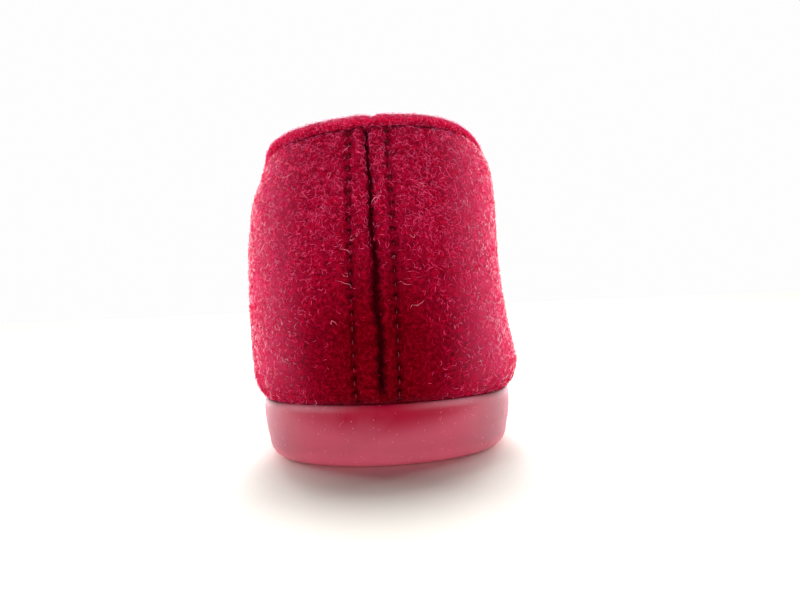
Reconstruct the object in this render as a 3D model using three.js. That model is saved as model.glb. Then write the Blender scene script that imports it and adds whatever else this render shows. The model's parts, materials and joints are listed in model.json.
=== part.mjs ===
// A left ballet flat in thick wool felt on a moulded rubber cup sole.
// Millimetres, +Z up. The toe points along +Y and the inner, big-toe side is +X.
// The sections are drawn from the heel's back edge on the floor; at the end the
// shoe is centred over its own footprint, so its origin is under its middle.
//
// Every piece is drawn round the shoe by one number u: 0 is the back seam, 0.25 is
// about the outer waist, 0.5 is the toe tip and 0.75 is about the inner waist.

import * as THREE from "three";

// Driving dimensions
const SOLE_LENGTH = 255;
const BALL_WIDTH = 88;
const BACK_HEIGHT = 78.5;
const INSTEP_HEIGHT = 58;
const FELT = 3;
const GAP = 0.3;

// Sole: a wedge that is thick at the heel, with a rounded ground edge and a raised lip
const HEEL_THICKNESS = 14.6;
const BALL_THICKNESS = 11.5;
const THINNING = { from: 0.2 * SOLE_LENGTH, to: 0.7 * SOLE_LENGTH };
const TOE_SPRING = 6;
const TOE_ROLL = 0.78 * SOLE_LENGTH;
const ARCH_LIFT = 1.4;
const ARCH = { from: 0.3 * SOLE_LENGTH, to: 0.58 * SOLE_LENGTH };
const LIP_WIDTH = 1.5;
const LIP_HEIGHT = 1.2;
const LIP_ROUND = 0.9;
const WALL_TAPER = 1;
const GROUND_ROUND = { across: 4.2, up: 4.6, steps: 4 };

// Upper: the felt stands inside the lip, swells over it, then leans in to the topline
const HEM_SWELL = 2.1;
const HEM_RISE = 7.5;
const HEM_STEPS = 4;
const WALL_STEPS = 9;

// Insole board, and the felt binding rolled over the topline
const INSOLE_THICKNESS = 3.5;
const INSOLE_BEVEL = 0.8;
const BINDING_WIDTH = 4;
const BINDING_HEIGHT = 3;
const BINDING_SIDES = 10;
const BINDING_NOTCH = { half: 1.8, share: 0.35 };

// Back seam: an open groove, with a stitched trough on each side at its own distance
const GROOVE = { half: 1.1, depth: 1.3 };
const TROUGH = { outer: 5.4, inner: 4.2, half: 0.8, depth: 0.4 };

const STEPS_ROUND = 80;

// The last, a row for each section round the shoe.
// at and out place the sole's edge, topAt and topOut the topline above it: at is a share of
// the sole's length from the heel, out a share of the ball width, inner side positive.
// topUp is the topline's height as a share of BACK_HEIGHT behind the waist, vampUp as a share
// of INSTEP_HEIGHT ahead of it. leanIn, where given, is how far the wall leans in straight
// above the hem, as a share of the ball width, and it swells out where that is negative.
const LAST = [
  { name: "back", at: 0.0, out: 0.0, topAt: 0.02, topOut: 0.0, topUp: 1.0 },
  { name: "outer corner", at: 0.058, out: -0.311, topAt: 0.073, topOut: -0.297, topUp: 0.958, leanIn: -0.02 },
  { name: "outer heel", at: 0.196, out: -0.339, topAt: 0.198, topOut: -0.32, topUp: 0.845 },
  { name: "outer rear waist", at: 0.345, out: -0.369, topAt: 0.333, topOut: -0.36, topUp: 0.69 },
  { name: "outer waist", at: 0.494, out: -0.409, topAt: 0.451, topOut: -0.358, vampUp: 0.855 },
  { name: "outer ball", at: 0.639, out: -0.477, topAt: 0.557, topOut: -0.307, vampUp: 0.88 },
  { name: "outer toes", at: 0.784, out: -0.443, topAt: 0.62, topOut: -0.193, vampUp: 0.948 },
  { name: "outer toe corner", at: 0.925, out: -0.261, topAt: 0.645, topOut: -0.068, vampUp: 0.99 },
  { name: "toe tip", at: 1.0, out: 0.091, topAt: 0.651, topOut: 0.057, vampUp: 1.0 },
  { name: "inner toe corner", at: 0.929, out: 0.398, topAt: 0.641, topOut: 0.17, vampUp: 0.99 },
  { name: "inner toes", at: 0.796, out: 0.528, topAt: 0.608, topOut: 0.273, vampUp: 0.955 },
  { name: "inner ball", at: 0.659, out: 0.517, topAt: 0.541, topOut: 0.347, vampUp: 0.895 },
  { name: "inner waist", at: 0.514, out: 0.426, topAt: 0.439, topOut: 0.364, vampUp: 0.87 },
  { name: "inner rear waist", at: 0.361, out: 0.368, topAt: 0.329, topOut: 0.347, topUp: 0.71, leanIn: 0.03 },
  { name: "inner heel", at: 0.2, out: 0.381, topAt: 0.196, topOut: 0.361, topUp: 0.845, leanIn: 0.12 },
  { name: "inner corner", at: 0.058, out: 0.335, topAt: 0.076, topOut: 0.29, topUp: 0.987, leanIn: 0.055 },
];

// How the wall leaves the hem and meets the topline, as shares of its height and of the
// ground it covers: the sides stand up, and the vamp lies back over the toes.
const STAND = { sides: 0.6, vamp: 0.5 };
const LEAN = { run: 0.5, rearRun: 0.86, rearDrop: 0.176, sidesDrop: 0.32, vampDrop: 0.17 };
const VAMP_COVER = 0.3 * BALL_WIDTH;

// Helpers

const smoothstep = (x, from, to) => THREE.MathUtils.smoothstep(x, from, to);
const lerp = (a, b, share) => a + (b - a) * share;

// A closed smooth curve through one value of each row. The control values of a cubic
// B-spline are pulled until the curve meets every row.
function closedCurve(goals) {
  const settlingPasses = 40;
  const count = goals.length;
  let pulls = goals;
  for (let pass = 0; pass < settlingPasses; pass++) {
    const last = pulls;
    pulls = goals.map((goal, i) => (6 * goal - last.at(i - 1) - last[(i + 1) % count]) / 4);
  }
  return (u) => {
    const place = THREE.MathUtils.euclideanModulo(u, 1) * count;
    const row = Math.floor(place);
    const t = place - row;
    const weights = [(1 - t) ** 3, 3 * t ** 3 - 6 * t ** 2 + 4, 1 + 3 * t * (1 + t - t ** 2), t ** 3];
    return weights.reduce((sum, w, k) => sum + (w / 6) * pulls[(row + k - 1 + count) % count], 0);
  };
}

const curves = {
  edgeX: closedCurve(LAST.map((row) => row.out * BALL_WIDTH)),
  edgeY: closedCurve(LAST.map((row) => row.at * SOLE_LENGTH)),
  topX: closedCurve(LAST.map((row) => row.topOut * BALL_WIDTH)),
  topY: closedCurve(LAST.map((row) => row.topAt * SOLE_LENGTH)),
  topZ: closedCurve(LAST.map((row) => (row.topUp ? row.topUp * BACK_HEIGHT : row.vampUp * INSTEP_HEIGHT))),
  leanIn: closedCurve(LAST.map((row) => (row.leanIn ?? 0) * BALL_WIDTH)),
};

// The sole's edge in plan, moved out along its own normal
function edge(u, out) {
  const du = 1e-4;
  const tangent = new THREE.Vector2(
    curves.edgeX(u + du) - curves.edgeX(u - du),
    curves.edgeY(u + du) - curves.edgeY(u - du),
  ).normalize();
  return new THREE.Vector2(curves.edgeX(u) - out * tangent.y, curves.edgeY(u) + out * tangent.x);
}

const at = (plan, z) => new THREE.Vector3(plan.x, plan.y, z);

// Heights of the sole along the foot
function groundHeight(y) {
  const toe = Math.max(0, (y - TOE_ROLL) / (SOLE_LENGTH - TOE_ROLL));
  const arch = THREE.MathUtils.clamp((y - ARCH.from) / (ARCH.to - ARCH.from), 0, 1);
  return TOE_SPRING * toe ** 2 + ARCH_LIFT * Math.sin(Math.PI * arch) ** 2;
}

function rimHeight(y) {
  const toe = Math.max(0, (y - TOE_ROLL) / (SOLE_LENGTH - TOE_ROLL));
  const thinning = smoothstep(y, THINNING.from, THINNING.to);
  return TOE_SPRING * toe ** 2 + lerp(HEEL_THICKNESS, BALL_THICKNESS, thinning);
}

const rimAt = (u) => rimHeight(curves.edgeY(u));
const groundAt = (u) => groundHeight(curves.edgeY(u));
const platformAt = (u) => rimAt(u) - LIP_HEIGHT;

// Distance from the back seam round the sole's edge, outer side positive
const seamPace = (() => {
  const du = 1e-3;
  return edge(du, 0).distanceTo(edge(-du, 0)) / (2 * du);
})();

const fromSeam = (u) => (u > 0.5 ? u - 1 : u) * seamPace;

// Depth of the back seam's groove and stitched troughs
function seamDepth(u) {
  const side = fromSeam(u);
  const away = Math.abs(side);
  const row = side > 0 ? TROUGH.outer : TROUGH.inner;
  const groove = GROOVE.depth * Math.max(0, 1 - away / GROOVE.half);
  const trough = TROUGH.depth * Math.max(0, 1 - Math.abs(away - row) / TROUGH.half);
  return groove + trough;
}

// Places round the shoe where the pieces are drawn, closer together at the back seam
function placesOnSide(row) {
  const step = 1 / STEPS_ROUND;
  const ridge = (GROOVE.half + row - TROUGH.half) / 2;
  const offsets = [GROOVE.half / 2, GROOVE.half, ridge, row - TROUGH.half, row, row + TROUGH.half];
  const seam = offsets.map((offset) => offset / seamPace);
  const even = Array.from({ length: STEPS_ROUND / 2 }, (_, i) => i * step);
  return [...seam, ...even.filter((u) => u > seam.at(-1) + step / 3)];
}

const outerPlaces = placesOnSide(TROUGH.outer);
const innerPlaces = placesOnSide(TROUGH.inner).map((u) => 1 - u);
const PLACES = [0, ...outerPlaces, 0.5, ...innerPlaces.reverse()];

// The upper's outer face above the hem: v runs from the fullest line, 0, to the topline, 1
function wall(u, v) {
  const foot = at(edge(u, HEM_SWELL), rimAt(u) + GAP + HEM_RISE);
  const top = new THREE.Vector3(curves.topX(u), curves.topY(u), curves.topZ(u));
  const back = new THREE.Vector3(foot.x - top.x, foot.y - top.y, 0);
  const cover = back.length();
  const height = top.z - foot.z;
  const vamp = smoothstep(cover, 0, VAMP_COVER);
  const rear = smoothstep(top.z, INSTEP_HEIGHT, BACK_HEIGHT);
  const run = cover * lerp(LEAN.run, LEAN.rearRun, rear * (1 - vamp));
  const drop = height * lerp(lerp(LEAN.sidesDrop, LEAN.rearDrop, rear), LEAN.vampDrop, vamp);
  const rise = height * lerp(STAND.sides, STAND.vamp, vamp);
  const lower = at(edge(u, HEM_SWELL - curves.leanIn(u)), foot.z + rise);
  const upper = top.clone().addScaledVector(back.normalize(), run).setZ(top.z - drop);
  return new THREE.CubicBezierCurve3(foot, lower, upper, top).getPoint(v);
}

// Unit vectors up the wall and out of it
function wallFrame(u, v) {
  const d = 1e-3;
  const along = wall(u + d, v).sub(wall(u - d, v));
  const low = Math.max(0, v - d);
  const high = Math.min(1, v + d);
  const up = wall(u, high).sub(wall(u, low)).normalize();
  return { up, out: up.clone().cross(along).normalize() };
}

// Closed solids from a grid of points: rings[i] is the section at the i-th place round the shoe

function geometryFrom(points, triangles) {
  const geometry = new THREE.BufferGeometry();
  geometry.setFromPoints(points);
  geometry.setIndex(triangles.flat());
  return signedVolume(points, triangles) < 0 ? flipped(geometry) : geometry;
}

function signedVolume(points, triangles) {
  const cross = new THREE.Vector3();
  return triangles.reduce(
    (sum, [a, b, c]) => sum + points[a].dot(cross.crossVectors(points[b], points[c])) / 6,
    0,
  );
}

function flipped(geometry) {
  const index = [...geometry.index.array];
  for (let i = 0; i < index.length; i += 3) [index[i + 1], index[i + 2]] = [index[i + 2], index[i + 1]];
  return geometry.setIndex(index);
}

// Two triangles between neighbours j and k of rings i and h
function skin(rings, closed) {
  const across = rings[0].length;
  const spans = closed ? across : across - 1;
  const triangles = [];
  rings.forEach((_, i) => {
    const h = (i + 1) % rings.length;
    for (let j = 0; j < spans; j++) {
      const k = (j + 1) % across;
      const [a, b, c, d] = [i * across + j, h * across + j, h * across + k, i * across + k];
      triangles.push([a, b, c], [a, c, d]);
    }
  });
  return triangles;
}

// A ladder of flat rungs across the foot closes the j-th loop of a plate
function ladder(rings, j, turned) {
  const across = rings[0].length;
  const count = rings.length;
  const corner = (i) => (i % count) * across + j;
  const triangles = [];
  for (let i = 0; i < count / 2; i++) {
    const [a, b, c, d] = [corner(i), corner(i + 1), corner(count - i - 1), corner(count - i)];
    if (b !== c) triangles.push([a, b, c]);
    if (a !== d) triangles.push([a, c, d]);
  }
  return turned ? triangles.map(([a, b, c]) => [a, c, b]) : triangles;
}

// A ring such as a wall or a binding, hollow in the middle
function ringSolid(section) {
  const rings = PLACES.map(section);
  return geometryFrom(rings.flat(), skin(rings, true));
}

// A plate such as a sole, closed across the foot below and above
function plateSolid(section) {
  const rings = PLACES.map(section);
  const last = rings[0].length - 1;
  const triangles = [...skin(rings, false), ...ladder(rings, 0, true), ...ladder(rings, last, false)];
  return geometryFrom(rings.flat(), triangles);
}

// Sections of the pieces, each a list of points at one place round the shoe

function outsoleSection(u) {
  const [ground, rim] = [groundAt(u), rimAt(u)];
  const { across, up, steps } = GROUND_ROUND;
  const roundEdge = Array.from({ length: steps + 1 }, (_, i) => {
    const turn = (i / steps) * (Math.PI / 2);
    const out = across * Math.sin(turn) - across - WALL_TAPER;
    return at(edge(u, out), ground + up * (1 - Math.cos(turn)));
  });
  return [
    ...roundEdge,
    at(edge(u, 0), rim - 2 * LIP_ROUND),
    at(edge(u, -LIP_ROUND / 3), rim - LIP_ROUND / 2),
    at(edge(u, -LIP_ROUND), rim),
    at(edge(u, -LIP_WIDTH), rim - LIP_ROUND / 3),
    at(edge(u, -LIP_WIDTH), platformAt(u)),
  ];
}

function insoleSection(u) {
  const out = -(LIP_WIDTH + GAP + FELT + GAP);
  const low = platformAt(u) + GAP;
  return [
    at(edge(u, out), low),
    at(edge(u, out), low + INSOLE_THICKNESS - INSOLE_BEVEL),
    at(edge(u, out - INSOLE_BEVEL), low + INSOLE_THICKNESS),
  ];
}

function upperSection(u) {
  const tuck = LIP_WIDTH + GAP;
  const swell = HEM_SWELL + tuck;
  const seat = platformAt(u) + GAP;
  const hem = rimAt(u) + GAP;
  const full = hem + HEM_RISE;
  const outer = [at(edge(u, -tuck - seamDepth(u)), seat)];
  const inner = [];
  for (let i = 0; i < HEM_STEPS; i++) {
    const turn = (i / HEM_STEPS) * (Math.PI / 2);
    const out = swell * Math.sin(turn) - tuck;
    const rise = 1 - Math.cos(turn);
    outer.push(at(edge(u, out - seamDepth(u)), hem + HEM_RISE * rise));
    inner.push(at(edge(u, out - FELT), seat + (full - seat) * rise));
  }
  for (let i = 0; i <= WALL_STEPS; i++) {
    const v = i / WALL_STEPS;
    const { out } = wallFrame(u, v);
    outer.push(wall(u, v).addScaledVector(out, -seamDepth(u)));
    inner.push(wall(u, v).addScaledVector(out, -FELT));
  }
  return [...outer, ...inner.reverse()];
}

function bindingSection(u) {
  const { up, out } = wallFrame(u, 1);
  const notch = 1 - BINDING_NOTCH.share * Math.max(0, 1 - Math.abs(fromSeam(u)) / BINDING_NOTCH.half);
  const seat = wall(u, 1).addScaledVector(out, -FELT / 2).addScaledVector(up, GAP);
  return Array.from({ length: BINDING_SIDES }, (_, i) => {
    const turn = (i / BINDING_SIDES) * 2 * Math.PI;
    const side = (BINDING_WIDTH / 2) * Math.cos(turn);
    const high = BINDING_HEIGHT * notch * (0.5 + 0.5 * Math.sin(turn));
    return seat.clone().addScaledVector(out, side).addScaledVector(up, high);
  });
}

// Materials and assembly

const crimsonFelt = new THREE.MeshStandardMaterial({ color: 0xa81236, roughness: 0.95, metalness: 0 });
const bindingFelt = new THREE.MeshStandardMaterial({ color: 0xb8163e, roughness: 0.95, metalness: 0 });
const insoleFelt = new THREE.MeshStandardMaterial({ color: 0x96203c, roughness: 0.95, metalness: 0 });
const roseRubber = new THREE.MeshStandardMaterial({ color: 0xb04a5c, roughness: 0.4, metalness: 0 });

function piece(name, geometry, material) {
  const mesh = new THREE.Mesh(geometry, material);
  mesh.name = name;
  return mesh;
}

const shoe = new THREE.Group();
shoe.add(
  piece("outsole", plateSolid(outsoleSection), roseRubber),
  piece("insole", plateSolid(insoleSection), insoleFelt),
  piece("upper", ringSolid(upperSection), crimsonFelt),
  piece("topline_binding", ringSolid(bindingSection), bindingFelt),
);

const box = new THREE.Box3().setFromObject(shoe);
const middle = box.getCenter(new THREE.Vector3());
shoe.position.set(-middle.x, -middle.y, -box.min.z);

const part = new THREE.Group();
part.add(shoe);

export default part;
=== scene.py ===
# %% [markdown]
# # A felt ballet flat on a rubber cup sole
# The shoe is a left flat in thick crimson wool felt. One seam runs down the back of the heel, a felt
# roll is sewn round the topline, and the sole is a moulded, slightly see-through rose rubber cup.
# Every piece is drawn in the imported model's own frame, in metres: the toe points along +Y and the
# big-toe side is +X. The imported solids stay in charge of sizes; this script only makes them look real.

# %% Load the frame
import json
import math
from collections import namedtuple
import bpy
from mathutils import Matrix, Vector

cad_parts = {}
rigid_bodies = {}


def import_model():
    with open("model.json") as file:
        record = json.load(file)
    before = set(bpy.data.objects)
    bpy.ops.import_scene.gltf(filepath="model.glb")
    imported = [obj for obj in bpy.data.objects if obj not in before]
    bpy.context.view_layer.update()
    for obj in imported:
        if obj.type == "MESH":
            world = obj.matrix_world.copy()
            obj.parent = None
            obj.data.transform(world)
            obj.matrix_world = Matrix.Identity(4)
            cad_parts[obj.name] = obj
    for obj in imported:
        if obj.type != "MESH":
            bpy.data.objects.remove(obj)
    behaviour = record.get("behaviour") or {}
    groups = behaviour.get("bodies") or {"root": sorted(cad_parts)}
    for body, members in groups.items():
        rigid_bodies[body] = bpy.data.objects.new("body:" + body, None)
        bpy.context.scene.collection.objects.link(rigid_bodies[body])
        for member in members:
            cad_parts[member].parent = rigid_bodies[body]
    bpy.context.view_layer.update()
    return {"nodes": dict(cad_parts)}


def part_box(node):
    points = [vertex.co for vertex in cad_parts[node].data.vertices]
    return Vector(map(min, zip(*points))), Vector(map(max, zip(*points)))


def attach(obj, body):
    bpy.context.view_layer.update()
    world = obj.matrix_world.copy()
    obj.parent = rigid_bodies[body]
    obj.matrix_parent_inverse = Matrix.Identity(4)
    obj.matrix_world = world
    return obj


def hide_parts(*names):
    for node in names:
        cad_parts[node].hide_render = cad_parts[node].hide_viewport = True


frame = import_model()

from types import SimpleNamespace as Values

import bmesh
import bpy
import numpy as np
from mathutils import Matrix, Vector, noise

print("CAD nodes:", sorted(frame["nodes"]))

# %% [markdown]
# ## Camera
# The shoe is seen from straight behind, from a low eye close to the heel, with the camera rolled a
# couple of degrees. A short lens so close makes the front of the shoe vanish behind the heel. The
# camera's three axes are written out from its turn, tilt and roll, which is easier to read than Euler
# angles in an order that has to be remembered.

# %% Camera
PHOTO_WIDTH = 800
FOCAL_LENGTH_PIXELS = 650
SENSOR_WIDTH = 36.0
NEAREST_SEEN = 0.01
EYE = Vector((-0.0007, -0.2717, 0.0369))
TURN_RIGHT = math.radians(1.36)
LOOK_UP = math.radians(0.33)
ROLL = math.radians(-2.34)
scene = bpy.context.scene


def new_object(name, data):
    """An object in the scene from a lens, a lamp, a mesh or a curve."""
    thing = bpy.data.objects.new(name, data)
    scene.collection.objects.link(thing)
    return thing


ahead = Vector((math.sin(TURN_RIGHT), math.cos(TURN_RIGHT), math.tan(LOOK_UP))).normalized()
level = Vector((math.cos(TURN_RIGHT), -math.sin(TURN_RIGHT), 0.0))
upright = level.cross(ahead)
camera_right = level * math.cos(ROLL) + upright * math.sin(ROLL)
camera_up = upright * math.cos(ROLL) - level * math.sin(ROLL)

lens = bpy.data.cameras.new("heel_camera")
lens.sensor_width = SENSOR_WIDTH
lens.lens = SENSOR_WIDTH * FOCAL_LENGTH_PIXELS / PHOTO_WIDTH
lens.clip_start = NEAREST_SEEN
camera = new_object("heel_camera", lens)
axes = Matrix((camera_right, camera_up, -ahead)).transposed()
camera.matrix_world = Matrix.Translation(EYE) @ axes.to_4x4()
scene.camera = camera
print("camera lens", round(lens.lens, 2), "mm, eye", tuple(round(x, 4) for x in EYE))

# %% [markdown]
# ## Colours and node helpers
# Colours are easiest to compare with a picture as screen values from 0 to 255, but shaders work with
# light, so one helper turns screen values into linear ones. The others add nodes that are already fed
# with links or plain values. Each finish is one Principled shader. Its textures follow the object's own
# coordinates, so nothing depends on an unwrapping, and it reads values painted on the mesh.

# %% Colours and node helpers
SCREEN_FULL = 255.0


def rgb(red, green, blue):
    """Linear colour, with alpha, of a screen colour given as 0 to 255."""
    shares = [value / SCREEN_FULL for value in (red, green, blue)]
    linear = [s / 12.92 if s <= 0.04045 else ((s + 0.055) / 1.055) ** 2.4 for s in shares]
    return (*linear, 1.0)


def grey(value):
    return (value, value, value, 1.0)


def feed(tree, node, inputs):
    """Gives a node's inputs, by name or number, their sources: other sockets or plain values."""
    for name, source in inputs.items():
        if isinstance(source, bpy.types.NodeSocket):
            tree.links.new(source, node.inputs[name])
        else:
            node.inputs[name].default_value = source


def add_node(tree, kind, inputs=None, **settings):
    """A new node with its settings and its inputs."""
    node = tree.nodes.new(kind)
    for name, value in settings.items():
        setattr(node, name, value)
    feed(tree, node, inputs or {})
    return node


def maths(tree, operation, *values):
    return add_node(tree, "ShaderNodeMath", dict(enumerate(values)), operation=operation).outputs[0]


def mix_colours(tree, share, first, second, blend="MIX"):
    """Mixes two colours by a share; each of the three is a socket or a plain value."""
    inputs = {0: share, 6: first, 7: second}
    return add_node(tree, "ShaderNodeMix", inputs, data_type="RGBA", blend_type=blend).outputs[2]


def ramp(tree, source, *stops):
    """The colour of a ramp on a source socket; stops are (place, colour)."""
    node = add_node(tree, "ShaderNodeValToRGB", {"Fac": source})
    elements = node.color_ramp.elements
    while len(elements) < len(stops):
        elements.new(0.5)
    for element, (place, colour) in zip(elements, stops):
        element.position = place
        element.color = colour
    return node.outputs["Color"]


print("middle grey in linear light:", round(rgb(128, 128, 128)[0], 3))

# %% Material helpers
def new_material(name, **shader_inputs):
    """A material with one Principled shader, and its node tree."""
    material = bpy.data.materials.new(name)
    material.use_nodes = True
    tree = material.node_tree
    shader = tree.nodes["Principled BSDF"]
    for socket, value in shader_inputs.items():
        shader.inputs[socket.replace("_", " ").title().replace("Ior", "IOR")].default_value = value
    return material, tree, shader


def texture(tree, kind, inputs, **settings):
    """The outputs of a texture that follows the object's own coordinates."""
    where = add_node(tree, "ShaderNodeTexCoord").outputs["Object"]
    return add_node(tree, "ShaderNodeTex" + kind, {"Vector": where, **inputs}, **settings).outputs


def painted(tree, name):
    """The value that a mesh carries on its points under this name."""
    return add_node(tree, "ShaderNodeAttribute", attribute_name=name).outputs["Fac"]


def finish_shader(tree, shader, colour, height, strength, distance):
    """Gives a shader its colour, and a bump from a height."""
    bump = add_node(tree, "ShaderNodeBump", {"Height": height, "Strength": strength, "Distance": distance})
    feed(tree, shader, {"Base Color": colour, "Normal": bump.outputs["Normal"]})


# %% [markdown]
# ## Stage and light
# The picture is high key: a white satin floor and a white background with no horizon between them. The
# world is nearly dark, and plain white only where the camera sees it. A wide, soft sun from beyond the
# toe leaves a soft shadow on the near side of the heel. Three pairs of soft boxes help it: a large pair
# beyond the toe whitens the floor up to the sole, a low pair beside the toe grazes the edges of the
# felt, and a low pair behind the camera lights the heel but hardly fills the shadow on the floor.

# %% Floor and room
FLOOR_SIDE = 12.0
FLOOR_WARM_WHITE = (0.9, 0.895, 0.82, 1.0)
FLOOR_SATIN = {"roughness": 0.55, "specular_ior_level": 0.7}
BACKGROUND_WHITE = 0.985
WORLD_LIGHT = 0.02

half_floor = FLOOR_SIDE / 2
corners = [(x * half_floor, y * half_floor, 0) for x, y in ((-1, -1), (1, -1), (1, 1), (-1, 1))]
floor_mesh = bpy.data.meshes.new("floor")
floor_mesh.from_pydata(corners, [], [(0, 1, 2, 3)])
floor = new_object("floor", floor_mesh)
floor_paint, _, _ = new_material("white_floor", base_color=FLOOR_WARM_WHITE, **FLOOR_SATIN)
floor_mesh.materials.append(floor_paint)

world = bpy.data.worlds.new("white_room")
scene.world = world
world.use_nodes = True
room = world.node_tree
seen = add_node(room, "ShaderNodeLightPath").outputs["Is Camera Ray"]
shown = {"Value": seen, "To Min": WORLD_LIGHT, "To Max": BACKGROUND_WHITE}
strength = add_node(room, "ShaderNodeMapRange", shown).outputs["Result"]
feed(room, room.nodes["Background"], {"Color": grey(1.0), "Strength": strength})
print("floor side", FLOOR_SIDE, "m, light of the room", WORLD_LIGHT)

# %% Lights
SUN = Values(strength=4.5, angle=math.radians(42), lean=math.radians(34))
SIDE_BOXES = {
    "toe": Values(power=26.0, width=1.0, height=0.65, away=0.875, up=0.34, ahead=0.9),
    "rim": Values(power=2.3, width=0.5, height=0.03, away=0.45, up=0.02, ahead=0.22),
    "heel": Values(power=3.2, width=0.6, height=0.05, away=0.45, up=0.032, ahead=-0.9),
}
LIGHT_AIM = Vector((0, -0.1, 0.04))


def lamp(name, kind, **settings):
    light = bpy.data.lights.new(name, kind)
    for setting, value in settings.items():
        setattr(light, setting, value)
    return new_object(name, light)


sun = lamp("overhead_sun", "SUN", energy=SUN.strength, angle=SUN.angle)
sun.rotation_euler = (-SUN.lean, 0, 0)
for name, made in SIDE_BOXES.items():
    size = {"shape": "RECTANGLE", "size": made.width, "size_y": made.height}
    for side in (-1, 1):
        box = lamp(name + "_box", "AREA", energy=made.power, **size)
        box.location = (side * made.away, made.ahead, made.up)
        box.rotation_euler = (LIGHT_AIM - box.location).to_track_quat("-Z", "Y").to_euler()

scene.view_settings.view_transform = "Standard"

# %% [markdown]
# ## The last
# A shoe is made over a last, so every piece here comes from one table of the last, a row for each
# section round the shoe: where the sole's edge is, and where the topline is above it. The numbers are
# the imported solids' own, so the finer surfaces made below lie exactly on the solids that they replace.
# One number u goes round the shoe: 0 at the back seam, positive on the outer side, a half at the toe.

# %% Table of the last
MM = 0.001
SOLE_LENGTH, BALL_WIDTH = 255.0, 88.0
BACK, INSTEP = 78.5, 58.0
FELT, GAP = 3.0, 0.3

Row = namedtuple("Row", "at out top_at top_out top_up lean_in")
LAST = (
    Row(0.0, 0.0, 0.02, 0.0, 1.0 * BACK, 0.0),
    Row(0.058, -0.311, 0.073, -0.297, 0.958 * BACK, -0.02),
    Row(0.196, -0.339, 0.198, -0.32, 0.845 * BACK, 0.0),
    Row(0.345, -0.369, 0.333, -0.36, 0.69 * BACK, 0.0),
    Row(0.494, -0.409, 0.451, -0.358, 0.855 * INSTEP, 0.0),
    Row(0.639, -0.477, 0.557, -0.307, 0.88 * INSTEP, 0.0),
    Row(0.784, -0.443, 0.62, -0.193, 0.948 * INSTEP, 0.0),
    Row(0.925, -0.261, 0.645, -0.068, 0.99 * INSTEP, 0.0),
    Row(1.0, 0.091, 0.651, 0.057, 1.0 * INSTEP, 0.0),
    Row(0.929, 0.398, 0.641, 0.17, 0.99 * INSTEP, 0.0),
    Row(0.796, 0.528, 0.608, 0.273, 0.955 * INSTEP, 0.0),
    Row(0.659, 0.517, 0.541, 0.347, 0.895 * INSTEP, 0.0),
    Row(0.514, 0.426, 0.439, 0.364, 0.87 * INSTEP, 0.0),
    Row(0.361, 0.368, 0.329, 0.347, 0.71 * BACK, 0.03),
    Row(0.2, 0.381, 0.196, 0.361, 0.845 * BACK, 0.12),
    Row(0.058, 0.335, 0.076, 0.29, 0.987 * BACK, 0.055),
)
SETTLING_PASSES = 40


def closed_curve(goals):
    """A closed cubic B-spline over u from 0 to 1, whose pulls settle until it meets the goals."""
    goals = np.array(goals, float)
    count = len(goals)
    pulls = goals
    for _ in range(SETTLING_PASSES):
        pulls = (6 * goals - np.roll(pulls, 1) - np.roll(pulls, -1)) / 4

    def curve(u):
        place = np.mod(u, 1.0) * count
        row = np.floor(place).astype(int)
        t = place - row
        weights = ((1 - t) ** 3, 3 * t**3 - 6 * t**2 + 4, 1 + 3 * t * (1 + t - t**2), t**3)
        return sum(w * pulls[(row + k - 1) % count] for k, w in enumerate(weights)) / 6

    return curve


edge_x = closed_curve([row.out * BALL_WIDTH for row in LAST])
edge_y = closed_curve([row.at * SOLE_LENGTH for row in LAST])
top_x = closed_curve([row.top_out * BALL_WIDTH for row in LAST])
top_y = closed_curve([row.top_at * SOLE_LENGTH for row in LAST])
top_z = closed_curve([row.top_up for row in LAST])
lean_in = closed_curve([row.lean_in * BALL_WIDTH for row in LAST])
print(len(LAST), "sections round the last")

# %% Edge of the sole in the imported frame
EDGE_NUDGE, NUDGE = 1e-4, 1e-3
PLAN_POINTS = 2000


def smoothstep(x, low, high):
    t = np.clip((x - low) / (high - low), 0, 1)
    return t * t * (3 - 2 * t)


def hill(x, rises, falls):
    return smoothstep(x, *rises) * (1 - smoothstep(x, *falls))


def lerp(a, b, share):
    return a + (b - a) * share


def spot(x, y, z):
    """Points from three arrays of any matching shapes."""
    return np.stack(np.broadcast_arrays(x, y, z), axis=-1).astype(float)


def quarter_turn(steps):
    """Angles from nothing to a quarter turn."""
    return np.arange(steps + 1) / steps * np.pi / 2


def unit(vectors):
    return vectors / np.linalg.norm(vectors, axis=-1, keepdims=True)


def edge(u, out):
    """The sole's edge in plan, moved out along its own normal."""
    tangent_x = edge_x(u + EDGE_NUDGE) - edge_x(u - EDGE_NUDGE)
    tangent_y = edge_y(u + EDGE_NUDGE) - edge_y(u - EDGE_NUDGE)
    length = np.hypot(tangent_x, tangent_y)
    return edge_x(u) - out * tangent_y / length, edge_y(u) + out * tangent_x / length


sole_low, sole_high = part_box("outsole")
plan = np.linspace(0, 1, PLAN_POINTS)
middle_x = (edge_x(plan).min() + edge_x(plan).max()) / 2
middle_y = (edge_y(plan).min() + edge_y(plan).max()) / 2
shift = np.array([
    (sole_low.x + sole_high.x) / 2 - middle_x * MM,
    (sole_low.y + sole_high.y) / 2 - middle_y * MM,
    0.0,
])


def in_frame(points):
    """Points of the last, in millimetres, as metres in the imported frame."""
    return points * MM + shift


seam_run = np.hypot(edge_x(NUDGE) - edge_x(-NUDGE), edge_y(NUDGE) - edge_y(-NUDGE))
seam_pace = float(seam_run / (2 * NUDGE))
print("one turn of u at the seam is", round(seam_pace, 1), "mm; shift", np.round(shift, 5))

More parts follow.
